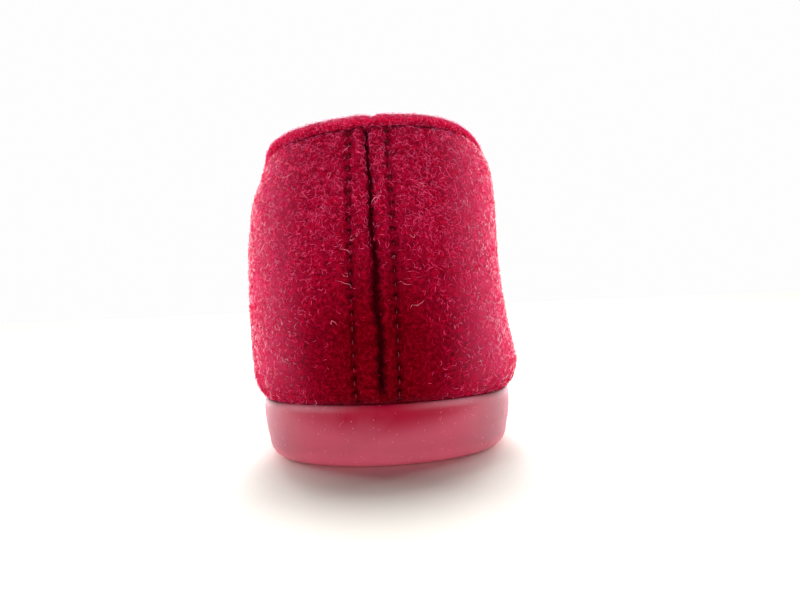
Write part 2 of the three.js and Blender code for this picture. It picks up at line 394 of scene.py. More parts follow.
# %% [markdown]
# ## Heights of the sole and the wall of the upper
# The rim of the sole is thick at the heel, thinner at the ball, and lifts at the toe. The felt wall
# stands on it: it swells over the rim, stands up at the sides and lies back over the toes. One cubic
# curve from the hem to the topline gives the wall at each place, and its neighbours give the normal.

# %% Heights and wall
HEEL_THICKNESS, BALL_THICKNESS = 14.6, 11.5
THINNING = (0.2 * SOLE_LENGTH, 0.7 * SOLE_LENGTH)
TOE_SPRING, TOE_ROLL = 6.0, 0.78 * SOLE_LENGTH
ARCH_LIFT, ARCH = 1.4, (0.3 * SOLE_LENGTH, 0.58 * SOLE_LENGTH)
HEM_SWELL, HEM_RISE = 2.1, 7.5
STAND = Values(sides=0.6, vamp=0.5)
LEAN = Values(run=0.5, rear_run=0.86, rear_drop=0.176, sides_drop=0.32, vamp_drop=0.17)
VAMP_COVER = 0.3 * BALL_WIDTH


def toe_lift(y):
    return TOE_SPRING * np.clip((y - TOE_ROLL) / (SOLE_LENGTH - TOE_ROLL), 0, None) ** 2


def ground_height(y):
    arch = np.clip((y - ARCH[0]) / (ARCH[1] - ARCH[0]), 0, 1)
    return toe_lift(y) + ARCH_LIFT * np.sin(np.pi * arch) ** 2


def rim_height(y):
    return toe_lift(y) + lerp(HEEL_THICKNESS, BALL_THICKNESS, smoothstep(y, *THINNING))


def wall(u, v):
    """The upper's outer face above the hem: v is 0 at the fullest line and 1 at the topline."""
    foot_z = rim_height(edge_y(u)) + GAP + HEM_RISE
    foot = spot(*edge(u, HEM_SWELL), foot_z)
    top = spot(top_x(u), top_y(u), top_z(u))
    back = (foot - top)[..., :2]
    cover = np.linalg.norm(back, axis=-1)
    height = top[..., 2] - foot_z
    vamp = smoothstep(cover, 0, VAMP_COVER)
    rear = smoothstep(top[..., 2], INSTEP, BACK)
    run = lerp(LEAN.run, LEAN.rear_run, rear * (1 - vamp))
    drop = height * lerp(lerp(LEAN.sides_drop, LEAN.rear_drop, rear), LEAN.vamp_drop, vamp)
    rise = height * lerp(STAND.sides, STAND.vamp, vamp)
    lower = spot(*edge(u, HEM_SWELL - lean_in(u)), foot_z + rise)
    upper = top.copy()
    upper[..., :2] += back * run[..., None]
    upper[..., 2] -= drop
    t = np.asarray(v, float)[..., None]
    return (1 - t) ** 3 * foot + 3 * (1 - t) ** 2 * t * lower + 3 * (1 - t) * t**2 * upper + t**3 * top


def wall_frame(u, v):
    """Unit vectors up the wall and out of it."""
    along = wall(u + NUDGE, v) - wall(u - NUDGE, v)
    up = unit(wall(u, np.clip(v + NUDGE, 0, 1)) - wall(u, np.clip(v - NUDGE, 0, 1)))
    return up, unit(np.cross(up, along))


back_top = wall(np.array(0.0), np.array(1.0))
print("back of the topline:", np.round(in_frame(back_top), 4))

# %% [markdown]
# ## Grids into meshes
# A wall or a roll is a grid that closes both ways, like a ring. A sole is a plate, a grid that closes
# round the shoe only, with rings that shrink on to a line along the middle of the foot to fill it. A bed
# for hairs is an open sheet. Where the volume within comes out negative, the faces are turned; a sheet
# is judged by its middle face.

# %% Grids into meshes
RING, PLATE, SHEET = (True, True), (False, True), (False, False)


def signed_volume(points, quads):
    a, b, c, d = (points[quads[:, k]] for k in range(4))
    return float((np.cross(a, b) * c).sum() + (np.cross(a, c) * d).sum()) / 6


def grid_quads(rows, columns, close_rows, close_columns):
    """Quads of a grid that closes along its rows and along its columns if asked."""
    i = np.arange(rows if close_rows else rows - 1)[:, None]
    j = np.arange(columns if close_columns else columns - 1)[None, :]
    a = i * columns + j
    b = i * columns + (j + 1) % columns
    c = (i + 1) % rows * columns + (j + 1) % columns
    d = (i + 1) % rows * columns + j
    return np.stack([a, b, c, d], axis=-1).reshape(-1, 4)


def grid_piece(name, grid, kind, material=None, inside=(0.0, 0.0, 0.0)):
    """A smooth piece from a grid, in millimetres of the last, that faces away from a place inside."""
    rows, columns = grid.shape[:2]
    points = grid.reshape(-1, 3)
    quads = grid_quads(rows, columns, *kind)
    judged = quads[[rows // 2 * (columns - 1) + columns // 2]] if kind == SHEET else quads
    if signed_volume(points - np.array(inside), judged) < 0:
        quads = quads[:, ::-1]
    mesh = bpy.data.meshes.new(name)
    mesh.from_pydata(in_frame(points).tolist(), [], quads.tolist())
    mesh.shade_smooth()
    if material:
        mesh.materials.append(material)
    return new_object(name, mesh)


def paint_on(piece, **maps):
    """Values for each point of a piece, under names that its material reads."""
    for name, values in maps.items():
        layer = piece.data.attributes.new(name, "FLOAT", "POINT")
        layer.data.foreach_set("value", np.asarray(values, np.float32).ravel())


def hand_over(piece, slot, *nodes):
    """Lets a finished piece ride on the shoe and stand for its solids; the slot for its finish is not
    used.
    """
    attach(piece, "root")
    if nodes:
        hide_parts(*nodes)
    triangles = sum(len(face.vertices) - 2 for face in piece.data.polygons)
    print(piece.name, "has", triangles, "triangles")


print("a ring of 3 by 4 points has", len(grid_quads(3, 4, *RING)), "faces")

# %% [markdown]
# ## Places round the shoe
# The back seam is the part that is seen closest, so the grid is fine there, looser round the heel and
# loosest along the foot. The distance from the seam is measured along the hem, outer side positive.

# %% Places round the shoe
ZONES = ((0.0, 8.0, 0.2), (8.0, 64.0, 0.55))
FOREFOOT_STEP = 1 / 380

half_round = np.concatenate([np.arange(start, stop, step) / seam_pace for start, stop, step in ZONES])
forefoot = np.arange(ZONES[-1][1] / seam_pace, 0.5 - FOREFOOT_STEP / 2, FOREFOOT_STEP)
half_round = np.append(half_round, forefoot)
around = np.concatenate([[-0.5], -half_round[:0:-1], half_round])
from_seam = around * seam_pace
print(len(around), "places round the shoe")

# %% [markdown]
# ## Felt finish
# Wool felt is a mat of curled hairs. Close up it is mottled: dark red hollows, crimson wool and pale
# hairs that catch the light. Two noises at different scales give the mottle and a ridged one gives the
# hair lines. The same ridges drive the bump, and a pink sheen stands for the halo of hairs at grazing
# angles. Three maps painted on the mesh carry painted shade in seams and holes, painted shade with wear
# where the heel has been rubbed smooth low down, and painted light where the heel turns to the sides and
# light comes through its loose hairs.

# %% Felt finish
FELT_TONES = (rgb(76, 0, 8), rgb(126, 0, 18), rgb(178, 0, 36))
# The binding is the same felt in brighter tones: painted light on the roll.
BINDING_LIT_TONES = (rgb(112, 0, 16), rgb(198, 4, 46), rgb(250, 48, 108))
# Darker tones for the patch low on the heel that is rubbed smooth: partly wear, partly painted shade.
RUBBED_SHADED_TONES = (rgb(84, 0, 8), rgb(106, 0, 12), rgb(132, 4, 24))
TONE_STOPS, RUBBED_SHADED_STOPS = (0.32, 0.52, 0.72), (0.36, 0.5, 0.66)
RUBBED_SHADED_SHARE = 0.9
FELT_HAIR = rgb(245, 40, 100)
FELT_SHADE = rgb(30, 0, 4)
FELT_GLOW = rgb(240, 88, 132)
HALO_PINK = rgb(255, 128, 168)
BROAD_STOPS = ((0.3, grey(0.78)), (0.7, grey(1.0)))
HAIR_LINE_STOPS = ((0.66, grey(0.0)), (0.86, grey(0.32)))
HAIR_LINE_HEIGHT = 0.6
FELT_BUMP = {"strength": 0.7, "distance": 0.0003}


def felt_material(name, has_maps, tones=FELT_TONES):
    """Crimson wool felt in three tones; felt that has maps reads its painted shade, its rub with painted
    shade, and its painted glow.
    """
    material, tree, shader = new_material(
        name, roughness=1.0, specular_ior_level=0.0,
        sheen_weight=0.1, sheen_roughness=0.1, sheen_tint=HALO_PINK,
    )
    patches = texture(tree, "Noise", {"Scale": 160.0, "Detail": 3.0})["Fac"]
    mottle = texture(tree, "Noise", {"Scale": 1300.0, "Detail": 4.0, "Distortion": 0.5})["Fac"]
    ridges = {"Scale": 1900.0, "Detail": 2.0, "Distortion": 1.4, "Offset": 0.9, "Gain": 1.6}
    hairs = texture(tree, "Noise", ridges, noise_type="RIDGED_MULTIFRACTAL", normalize=True)["Fac"]
    tone = ramp(tree, mottle, *zip(TONE_STOPS, tones))
    broad = ramp(tree, patches, *BROAD_STOPS)
    colour = mix_colours(tree, 1.0, tone, broad, "MULTIPLY")
    lines = ramp(tree, hairs, *HAIR_LINE_STOPS)
    if has_maps:
        rub = painted(tree, "rub")
        lines = maths(tree, "MULTIPLY", lines, maths(tree, "SUBTRACT", 1.0, rub))
        smooth_and_shaded = ramp(tree, mottle, *zip(RUBBED_SHADED_STOPS, RUBBED_SHADED_TONES))
        colour = mix_colours(tree, maths(tree, "MULTIPLY", rub, RUBBED_SHADED_SHARE), colour, smooth_and_shaded)
        colour = mix_colours(tree, painted(tree, "glow"), colour, FELT_GLOW)
    colour = mix_colours(tree, lines, colour, FELT_HAIR)
    if has_maps:
        colour = mix_colours(tree, painted(tree, "shade"), colour, FELT_SHADE)
    height = maths(tree, "MULTIPLY_ADD", hairs, HAIR_LINE_HEIGHT, mottle)
    finish_shader(tree, shader, colour, height, **FELT_BUMP)
    return material


upper_felt = felt_material("crimson_felt", True)
binding_felt = felt_material("binding_felt", True, BINDING_LIT_TONES)
print("felt finishes:", upper_felt.name, binding_felt.name)

# %% [markdown]
# ## Felt upper
# The upper is one felt shell, cut open down the back and sewn up again. Its edges meet in a groove that
# gapes towards the hem, with a row of stitches on each side that pulls the felt into a trough and a
# pit at every needle hole. Under the binding runs a ditch, and the felt sags a little at the outer
# shoulder. All of this is real relief in the grid: it moves each point of the outer face along its
# normal. Slow noise gives the felt its soft unevenness.

# %% Relief of the upper
GROOVE = Values(half_top=0.72, half_low=0.95, depth=1.6, ends_at=14.0, fade=5.0)
GROOVE_PLACE = Values(top=0.9, low=-0.7, sway=0.22, sway_pace=0.37)
GROOVE_STEEPNESS, GROOVE_SHADE = 3, 0.85
Ragged = namedtuple("Ragged", "pace lag amount")
RAGGED_EDGE = (Ragged(1.7, 2.0, 0.26), Ragged(4.3, 5.0, 0.22), Ragged(7.9, 3.0, 0.14))
STITCH_ROWS = {"outer": 5.35, "inner": -4.2}
STITCH_PITCH = 3.0
TROUGH = Values(half=1.0, depth=0.42, shade=0.32, bare=0.5)
PIT = Values(half=0.66, depth=1.0, bare=2.1)
BAND = Values(puff=0.3, parts=3)
DITCH = Values(half=1.2, depth=0.8, shade=0.8)


def bump_at(distance, half):
    """A soft bump of height 1, about twice half wide."""
    return np.exp(-((distance / half) ** 2))


def seam_relief(side, z, arc, below_top):
    """Height of the felt near the back seam, its shade, and where it is bare of hairs."""
    rise = np.clip((z - GROOVE.ends_at) / (BACK - GROOVE.ends_at), 0, 1)
    open_share = smoothstep(z, GROOVE.ends_at, GROOVE.ends_at + GROOVE.fade)
    sway = GROOVE_PLACE.sway * np.sin(GROOVE_PLACE.sway_pace * z)
    groove_side = side - lerp(GROOVE_PLACE.low, GROOVE_PLACE.top, rise) - sway
    half = lerp(GROOVE.half_low, GROOVE.half_top, rise)
    for ragged in RAGGED_EDGE:
        half = half * (1 + ragged.amount * np.sin(ragged.pace * z + ragged.lag * np.sign(groove_side)))
    groove = open_share * np.exp(-np.abs(groove_side / half) ** GROOVE_STEEPNESS)
    height = -GROOVE.depth * groove
    shade = GROOVE_SHADE * groove
    bare = groove
    for row in STITCH_ROWS.values():
        height = height + BAND.puff * bump_at(side - row / 2, abs(row) / BAND.parts)
        trough = bump_at(side - row, TROUGH.half)
        from_hole = np.hypot(side - row, (arc / STITCH_PITCH % 1 - 0.5) * STITCH_PITCH)
        pit = bump_at(from_hole, PIT.half)
        height = height - TROUGH.depth * trough - PIT.depth * pit
        shade = np.maximum(shade, np.maximum(TROUGH.shade * trough, pit))
        round_hole = bump_at(from_hole, PIT.half * PIT.bare)
        bare = np.maximum(bare, np.maximum(TROUGH.bare * trough, round_hole))
    ditch = bump_at(below_top, DITCH.half)
    shade = np.maximum(shade, DITCH.shade * ditch)
    return height - DITCH.depth * ditch, shade, np.maximum(bare, ditch)


print("stitch rows at", STITCH_ROWS, "mm from the seam")

# %% Grid of the upper
HEM_ROWS, WALL_ROWS, INNER_ROWS = 14, 96, 26
LIP_WIDTH, LIP_HEIGHT, LIP_ROUND = 1.5, 1.2, 0.9
SLACK = Values(side=40.0, half_side=13.0, height=70.5, half_height=4.8, depth=1.0)
UNEVEN = Values(wave=11.0, amount=0.22, lump_wave=2.4, lump=0.09)


def slow_noise(points, wave):
    """Noise from about -1 to 1 at each point, with waves of about a given length."""
    values = [noise.noise(Vector(p) / wave) for p in points.reshape(-1, 3).tolist()]
    return np.array(values).reshape(points.shape[:-1])


def felt_noise(points):
    """Slow waves and small lumps of the felt, in millimetres."""
    waves = UNEVEN.amount * slow_noise(points, UNEVEN.wave)
    return waves + UNEVEN.lump * slow_noise(points, UNEVEN.lump_wave)


def hem_rows(u, out_by, low, full):
    """The hem's quarter round from under the rim's lip to the fullest line."""
    tuck = LIP_WIDTH + GAP
    turns = quarter_turn(HEM_ROWS)[:-1, None]
    out = (HEM_SWELL + tuck) * np.sin(turns) - tuck - out_by
    x, y = edge(u[None, :], out)
    return spot(x, y, low + (full - low) * (1 - np.cos(turns)))


rim = rim_height(edge_y(around))
seat = rim - LIP_HEIGHT + GAP
full_line = rim + GAP + HEM_RISE
wall_v = np.linspace(0, 1, WALL_ROWS + 1)[:, None]
_, wall_out = wall_frame(around[None, :], wall_v)
outer = np.concatenate([hem_rows(around, 0, rim + GAP, full_line), wall(around[None, :], wall_v)])
hem_out = spot(*edge(around, 1.0), 0 * around) - spot(*edge(around, 0.0), 0 * around)
outer_normal = np.concatenate([np.repeat(hem_out[None], HEM_ROWS, axis=0), wall_out])

seam_column = outer[:, np.argmin(np.abs(from_seam))]
steps_up = np.linalg.norm(np.diff(seam_column, axis=0), axis=-1)
arc_up = np.concatenate([[0.0], np.cumsum(steps_up)])
near_top = arc_up[-1] - arc_up
sides, outer_z = from_seam[None, :], outer[..., 2]
height, shade, bare = seam_relief(sides, outer_z, arc_up[:, None], near_top[:, None])
slack = bump_at(sides - SLACK.side, SLACK.half_side)
slack = slack * bump_at(outer_z - SLACK.height, SLACK.half_height)
height = height + felt_noise(outer) - SLACK.depth * slack
outer_face = outer + outer_normal * height[..., None]

inner_v = np.linspace(1, 0, INNER_ROWS)[:, None]
inner_wall = wall(around[None, :], inner_v) - FELT * wall_frame(around[None, :], inner_v)[1]
inner_hem = hem_rows(around, FELT, seat, full_line)[::-1]
foot_row = spot(*edge(around, -LIP_WIDTH - GAP), seat)[None]
upper_grid = np.concatenate([foot_row, outer_face, inner_wall, inner_hem])
print("upper grid", upper_grid.shape, "seam length", round(float(arc_up[-1]), 1), "mm")

# %% Felt upper
# The rubbed patch low in the middle of the heel is also painted darker, as shade low down.
RUB_AND_SHADE = Values(low=22.0, high=62.0, half_low=17.0, half_high=8.0, blend=11.0, ends=(30.0, 70.0))
HALO = Values(starts=(14.0, 36.0), ends=(36.0, 120.0), foot=(13.0, 24.0), glow=0.75)


def rubbed_and_shaded(side, z):
    """Where the felt is rubbed smooth and painted darker as shade: low down in the middle of the heel, in
    a patch that narrows upwards.
    """
    half = lerp(RUB_AND_SHADE.half_low, RUB_AND_SHADE.half_high, smoothstep(z, RUB_AND_SHADE.low, RUB_AND_SHADE.high))
    across = 1 - smoothstep(np.abs(side), half - RUB_AND_SHADE.blend, half + RUB_AND_SHADE.blend)
    return across * (1 - smoothstep(z, *RUB_AND_SHADE.ends))


def side_halo(side, z):
    """Where the heel turns to the sides and its loose hairs stand out against the light."""
    return hill(np.abs(side), HALO.starts, HALO.ends) * smoothstep(z, *HALO.foot)


def outer_only(values):
    """A map of the outer face, with zeros for the row under it and for the inside."""
    rows_inside = len(inner_wall) + len(inner_hem)
    return np.pad(values, ((len(foot_row), rows_inside), (0, 0)))


rub = rubbed_and_shaded(sides, outer_z)
halo = side_halo(sides, outer_z)
felt_upper = grid_piece("felt_upper", upper_grid, RING, upper_felt)
paint_on(
    felt_upper, shade=outer_only(shade), rub=outer_only(rub), glow=outer_only(HALO.glow * halo)
)
hand_over(felt_upper, "crimson_felt", "upper")

# %% [markdown]
# ## Rolled binding
# A narrow strip of the same felt is rolled over the topline and sewn down in the ditch under it. Its
# two ends meet at the back seam and leave a small notch, and it is pulled slimmer round the outer
# shoulder. A closed section swept round the topline is enough; noise on its points makes it look soft
# and hand sewn. Its felt has brighter tones as painted light, its lower edge is smoothed and painted
# darker as shade, and its top is painted paler as light on its loose hairs.

# %% Shape of the binding
BINDING = Values(width=4.0, height=3.0, sides=20, corner=0.8)
NOTCH = Values(half=1.0, share=0.24, aside=-0.6, narrowest=0.75)
SLIM = Values(side=44.0, half=12.0, share=0.4)
ROLL_SWELL = 0.42

roll_up, roll_out = wall_frame(around, np.ones_like(around))
roll_seat = wall(around, np.ones_like(around)) - roll_out * FELT / 2 + roll_up * GAP
turns = np.arange(BINDING.sides) / BINDING.sides * 2 * np.pi


def rounded(wave):
    """A sine pulled towards a box, so that the roll has a fuller section than an ellipse."""
    return np.sign(wave) * np.abs(wave) ** BINDING.corner


across = rounded(np.cos(turns)) * BINDING.width / 2
upward = (0.5 + 0.5 * rounded(np.sin(turns))) * BINDING.height
notch = 1 - NOTCH.share * bump_at(from_seam - NOTCH.aside, NOTCH.half)
slim = 1 - SLIM.share * bump_at(from_seam - SLIM.side, SLIM.half)
narrow = slim * lerp(NOTCH.narrowest, 1, notch)
roll_grid = (
    roll_seat[None]
    + roll_out[None] * across[:, None, None] * narrow[None, :, None]
    + roll_up[None] * (upward[:, None] * notch[None, :])[..., None]
)
roll_middle = roll_seat + roll_up * BINDING.height / 2
swell = 1 + ROLL_SWELL * felt_noise(roll_grid)
roll_grid = roll_middle[None] + (roll_grid - roll_middle[None]) * swell[..., None]
print("binding swells from", round(swell.min(), 2), "to", round(swell.max(), 2))

# %% Rolled binding
# The lower edge of the roll is smoothed and painted darker as shade; its top is painted paler as light on
# its loose hairs, less away from the heel.
PRESSED_SHADE = Values(share=0.4, heights=(-0.95, -0.3))
TOP_GLOW = Values(share=0.6, heights=(-0.6, 0.6), fades=(40.0, 90.0), away=0.7)

pressed_shade = PRESSED_SHADE.share * (1 - smoothstep(np.sin(turns), *PRESSED_SHADE.heights))
top_glow = TOP_GLOW.share * smoothstep(np.sin(turns), *TOP_GLOW.heights)
at_heel = 1 - TOP_GLOW.away * smoothstep(np.abs(from_seam), *TOP_GLOW.fades)
rolled_binding = grid_piece("rolled_binding", roll_grid, RING, binding_felt)
paint_on(
    rolled_binding,
    rub=np.repeat(pressed_shade, len(around)),
    glow=top_glow[:, None] * at_heel[None, :],
    shade=np.zeros(roll_grid.shape[:2]),
)
hand_over(rolled_binding, "binding_felt", "topline_binding")

# %% [markdown]
# ## Rubber finish
# The sole is one shot of soft, milky rose rubber. Light goes a few millimetres into it, so it gets
# subsurface scattering. It is satin rather than glossy, with fine mould grain, and it has picked up
# pale dust. Maps painted on the mesh tint it by place: deeper under the rim at the back, where the red
# felt shows through, paler with painted sheen round the sides, with painted glow on the lip beside the
# seam, with painted shade on the lip farther round, and with painted light near the floor.

# %% Rubber finish
RUBBER_ROSE = rgb(198, 86, 108)
RUBBER_DEEP = rgb(160, 14, 48)
# A paler, greyer tint round the sides of the heel: painted sheen.
RUBBER_SHEEN_TINT = rgb(170, 110, 120)
# Tints painted on the rubber: glow on the lip beside the seam, shade on the lip farther round, light near
# the floor.
RUBBER_TINTS = {
    "milky": rgb(206, 146, 160),
    "far_lip": rgb(104, 70, 75),
    "lit": rgb(250, 122, 144),
}
DUST_PALE = rgb(244, 222, 222)
DEEP_STOPS = ((0.3, grey(0.7)), (0.5, grey(1.0)))
CLOUD_STOPS = ((0.3, grey(0.88)), (0.7, grey(1.0)))
SPECK_STOPS = ((0.04, grey(0.45)), (0.11, grey(0.0)))
RARE_STOPS = ((0.45, grey(0.0)), (0.49, grey(1.0)))
RUBBER_BUMP = {"strength": 0.12, "distance": 0.0002}


def rubber_material():
    material, tree, shader = new_material(
        "rose_rubber", roughness=0.6, subsurface_weight=0.35, subsurface_scale=0.004,
        subsurface_radius=(1.0, 0.35, 0.35), ior=1.46, specular_ior_level=0.06,
    )
    cloud = texture(tree, "Noise", {"Scale": 90.0, "Detail": 3.0, "Distortion": 0.6})["Fac"]
    grain = texture(tree, "Noise", {"Scale": 1500.0, "Detail": 2.0})["Fac"]
    specks = texture(tree, "Voronoi", {"Scale": 800.0, "Randomness": 1.0})
    colour = mix_colours(tree, painted(tree, "hazy"), RUBBER_ROSE, RUBBER_SHEEN_TINT)
    uneven = ramp(tree, cloud, *DEEP_STOPS)
    colour = mix_colours(tree, maths(tree, "MULTIPLY", painted(tree, "deep"), uneven), colour, RUBBER_DEEP)
    for name, tint in RUBBER_TINTS.items():
        colour = mix_colours(tree, painted(tree, name), colour, tint)
    clouds = ramp(tree, cloud, *CLOUD_STOPS)
    colour = mix_colours(tree, 1.0, colour, clouds, "MULTIPLY")
    dots = ramp(tree, specks["Distance"], *SPECK_STOPS)
    pick = add_node(tree, "ShaderNodeSeparateColor", {0: specks["Color"]}).outputs[0]
    rare = ramp(tree, pick, *RARE_STOPS)
    colour = mix_colours(tree, maths(tree, "MULTIPLY", dots, rare), colour, DUST_PALE)
    finish_shader(tree, shader, colour, grain, **RUBBER_BUMP)
    return material


rose_rubber = rubber_material()
print("rubber finish:", rose_rubber.name)

# %% [markdown]
# ## Cup sole
# The sole's section goes round the ground edge, up the slightly tapered wall, over the rim's lip and
# down to the platform under the insole. The bottom is filled with rings that shrink on to the middle
# line, and shallow waves across it make a plain tread. Last come the maps that tint the rubber.

# %% Section of the sole
SOLE_STEP = 2
EDGE_TURNS, LIP_TURNS, SIDE_ROWS = 10, 7, 8
GROUND_ROUND = Values(across=4.2, up=4.6)
WALL_TAPER = 1.0
SIDE_BULGE = 0.25
LIP_INNER_ROUND = 0.25

places = around[::SOLE_STEP]
ground = ground_height(edge_y(places))
sole_rim = rim_height(edge_y(places))


def sole_row(out, z):
    return spot(*edge(places, out), z)


rows = []
for t in quarter_turn(EDGE_TURNS):
    out = GROUND_ROUND.across * (math.sin(t) - 1) - WALL_TAPER
    rows.append(sole_row(out, ground + GROUND_ROUND.up * (1 - math.cos(t))))
wall_low = ground + GROUND_ROUND.up
wall_high = sole_rim - 2 * LIP_ROUND
for share in np.arange(1, SIDE_ROWS + 1) / SIDE_ROWS:
    out = -WALL_TAPER * (1 - share) + SIDE_BULGE * math.sin(math.pi * share)
    rows.append(sole_row(out, lerp(wall_low, wall_high, share)))
for t in quarter_turn(LIP_TURNS)[1:]:
    rows.append(sole_row(-LIP_ROUND * (1 - math.cos(t)), wall_high + 2 * LIP_ROUND * math.sin(t)))
rows.append(sole_row(-LIP_WIDTH + LIP_INNER_ROUND, sole_rim))
rows.append(sole_row(-LIP_WIDTH, sole_rim - LIP_INNER_ROUND))
rows.append(sole_row(-LIP_WIDTH, sole_rim - LIP_HEIGHT))
print("section of the sole has", len(rows), "rows")

# %% Tread and platform
TREAD_RINGS, PLATFORM_RINGS = 26, 6
TREAD = Values(wave=9.0, depth=0.7, sway=1.2, margin=(0.12, 0.3))
WELD = Values(doubles=1e-6, slivers=1e-7)


def filled(row, rings):
    """Rings from a closed row on to the middle line of the foot, and how far in each one is."""
    across_foot = np.roll(row[::-1], 1, axis=0)
    middle = (row + across_foot) / 2
    shares = np.linspace(0, 1, rings + 1)[1:]
    return [lerp(row, middle, share) for share in shares], shares


def weld(piece):
    """Closes the line where the two halves of a filled plate meet."""
    shell = bmesh.new()
    shell.from_mesh(piece.data)
    bmesh.ops.remove_doubles(shell, verts=shell.verts, dist=WELD.doubles)
    bmesh.ops.dissolve_degenerate(shell, edges=shell.edges, dist=WELD.slivers)
    shell.to_mesh(piece.data)
    shell.free()


bottom, shares = filled(rows[0], TREAD_RINGS)
for ring, share in zip(bottom, shares):
    sway = TREAD.sway * np.sin(ring[:, 0] / TREAD.wave)
    waves = np.sin(ring[:, 1] / TREAD.wave * 2 * np.pi + sway)
    cut = smoothstep(share, *TREAD.margin) * TREAD.depth
    ring[:, 2] = ground_height(ring[:, 1]) + cut * (0.5 + 0.5 * waves)
platform, _ = filled(rows[-1], PLATFORM_RINGS)
sole_grid = np.stack([*bottom[::-1], *rows, *platform])
print("sole grid", sole_grid.shape)

# %% Cup sole
DEEP = Values(depth=6.0, half=25.0, blend=3.4)
# Painted sheen round the sides of the heel, less towards the toe.
PAINTED_SHEEN = Values(rises=(14.0, 36.0), falls=(48.0, 90.0), falls_by=0.8)
# Painted glow on the lip beside the seam.
LIP_LIGHT = Values(below=(0.6, 2.2), rises=(1.0, 22.0), falls=(20.0, 32.0), share=0.6)
# Painted shade on the lip farther round.
FAR_LIP_SHADE = Values(below=(0.1, 1.4), rises=(22.0, 31.0), share=0.6)
LIT_EDGE = Values(up=(0.0, 4.5), share=0.4)

sole_y, sole_z = sole_grid[..., 1], sole_grid[..., 2]
below_rim = rim_height(sole_y) - sole_z
seam_side = np.abs(from_seam[::SOLE_STEP])[None, :]
deep_edge = DEEP.depth * (1 - (seam_side / DEEP.half) ** 2)
hazy = smoothstep(seam_side, *PAINTED_SHEEN.rises)
hazy = hazy * (1 - PAINTED_SHEEN.falls_by * smoothstep(seam_side, *PAINTED_SHEEN.falls))
milky = hill(seam_side, LIP_LIGHT.rises, LIP_LIGHT.falls)
far_lip = smoothstep(seam_side, *FAR_LIP_SHADE.rises) * (1 - smoothstep(below_rim, *FAR_LIP_SHADE.below))
cup_sole = grid_piece("cup_sole", sole_grid, PLATE, rose_rubber)
paint_on(
    cup_sole,
    deep=1 - smoothstep(below_rim - deep_edge, -DEEP.blend, DEEP.blend),
    hazy=np.repeat(hazy, len(sole_grid), axis=0),
    milky=LIP_LIGHT.share * milky * (1 - smoothstep(below_rim, *LIP_LIGHT.below)),
    far_lip=FAR_LIP_SHADE.share * far_lip,
    lit=LIT_EDGE.share * (1 - smoothstep(sole_z - ground_height(sole_y), *LIT_EDGE.up)),
)
weld(cup_sole)
hand_over(cup_sole, "rose_rubber", "outsole")

# %% [markdown]
# ## Insole
# Inside lies a felt-covered board. It only shows from above, so it gets a soft rounded edge and the
# plain felt of the upper, without the maps that the outside needs.

# %% Insole
INSOLE = Values(thickness=3.5, bevel=0.8, bevel_turns=5, under_rings=4, over_rings=20)

insole_out = -(LIP_WIDTH + GAP + FELT + GAP)
insole_low = sole_rim - LIP_HEIGHT + GAP
insole_rows = [sole_row(insole_out, insole_low)]
for t in quarter_turn(INSOLE.bevel_turns):
    out = insole_out - INSOLE.bevel * (1 - math.cos(t))
    high = INSOLE.thickness - INSOLE.bevel * (1 - math.sin(t))
    insole_rows.append(sole_row(out, insole_low + high))
under, _ = filled(insole_rows[0], INSOLE.under_rings)
over, _ = filled(insole_rows[-1], INSOLE.over_rings)
insole_grid = np.stack([*under[::-1], *insole_rows, *over])
felt_insole = grid_piece("felt_insole", insole_grid, PLATE, felt_material("insole_felt", False))
weld(felt_insole)
hand_over(felt_insole, "insole_felt", "insole")

# %% [markdown]
# ## Growing things with Geometry Nodes
# Stitches and hairs repeat hundreds of times along a row or over a face, which is what Geometry Nodes
# are for. Each tree is built here in code with named inputs. A helper puts it on a source object, reads
# the grown mesh back as plain geometry and takes the modifier away again, so nothing live is left. The
# things that are set out, threads and hairs, are thin closed spindles of rings between two tips.

# %% Growing things with Geometry Nodes
def geometry_tree(name, inputs):
    """An empty node tree with a geometry input and output and more inputs by name and type."""
    tree = bpy.data.node_groups.new(name, "GeometryNodeTree")
    tree.interface.new_socket("Geometry", in_out="INPUT", socket_type="NodeSocketGeometry")
    for label, kind in inputs.items():
        tree.interface.new_socket(label, in_out="INPUT", socket_type="NodeSocket" + kind)
    tree.interface.new_socket("Geometry", in_out="OUTPUT", socket_type="NodeSocketGeometry")
    return tree, add_node(tree, "NodeGroupInput").outputs, add_node(tree, "NodeGroupOutput")


def end_tree(tree, instances, finish, result):
    """Makes the instances real, gives them their material and sends them out of the tree."""
    real = add_node(tree, "GeometryNodeRealizeInstances", {"Geometry": instances}).outputs["Geometry"]
    paint = add_node(tree, "GeometryNodeSetMaterial", {"Geometry": real, "Material": finish})
    feed(tree, result, {"Geometry": paint.outputs["Geometry"]})


def grow(name, source, tree, values):
    """A plain mesh object grown on the source, which is then removed."""
    modifier = source.modifiers.new("grow", "NODES")
    modifier.node_group = tree
    for item in tree.interface.items_tree:
        if item.in_out == "INPUT" and item.name in values:
            modifier[item.identifier] = values[item.name]
    evaluated = source.evaluated_get(bpy.context.evaluated_depsgraph_get())
    mesh = bpy.data.meshes.new_from_object(evaluated)
    mesh.name = name
    mesh.shade_smooth()
    source.modifiers.remove(modifier)
    bpy.data.objects.remove(source)
    return new_object(name, mesh)


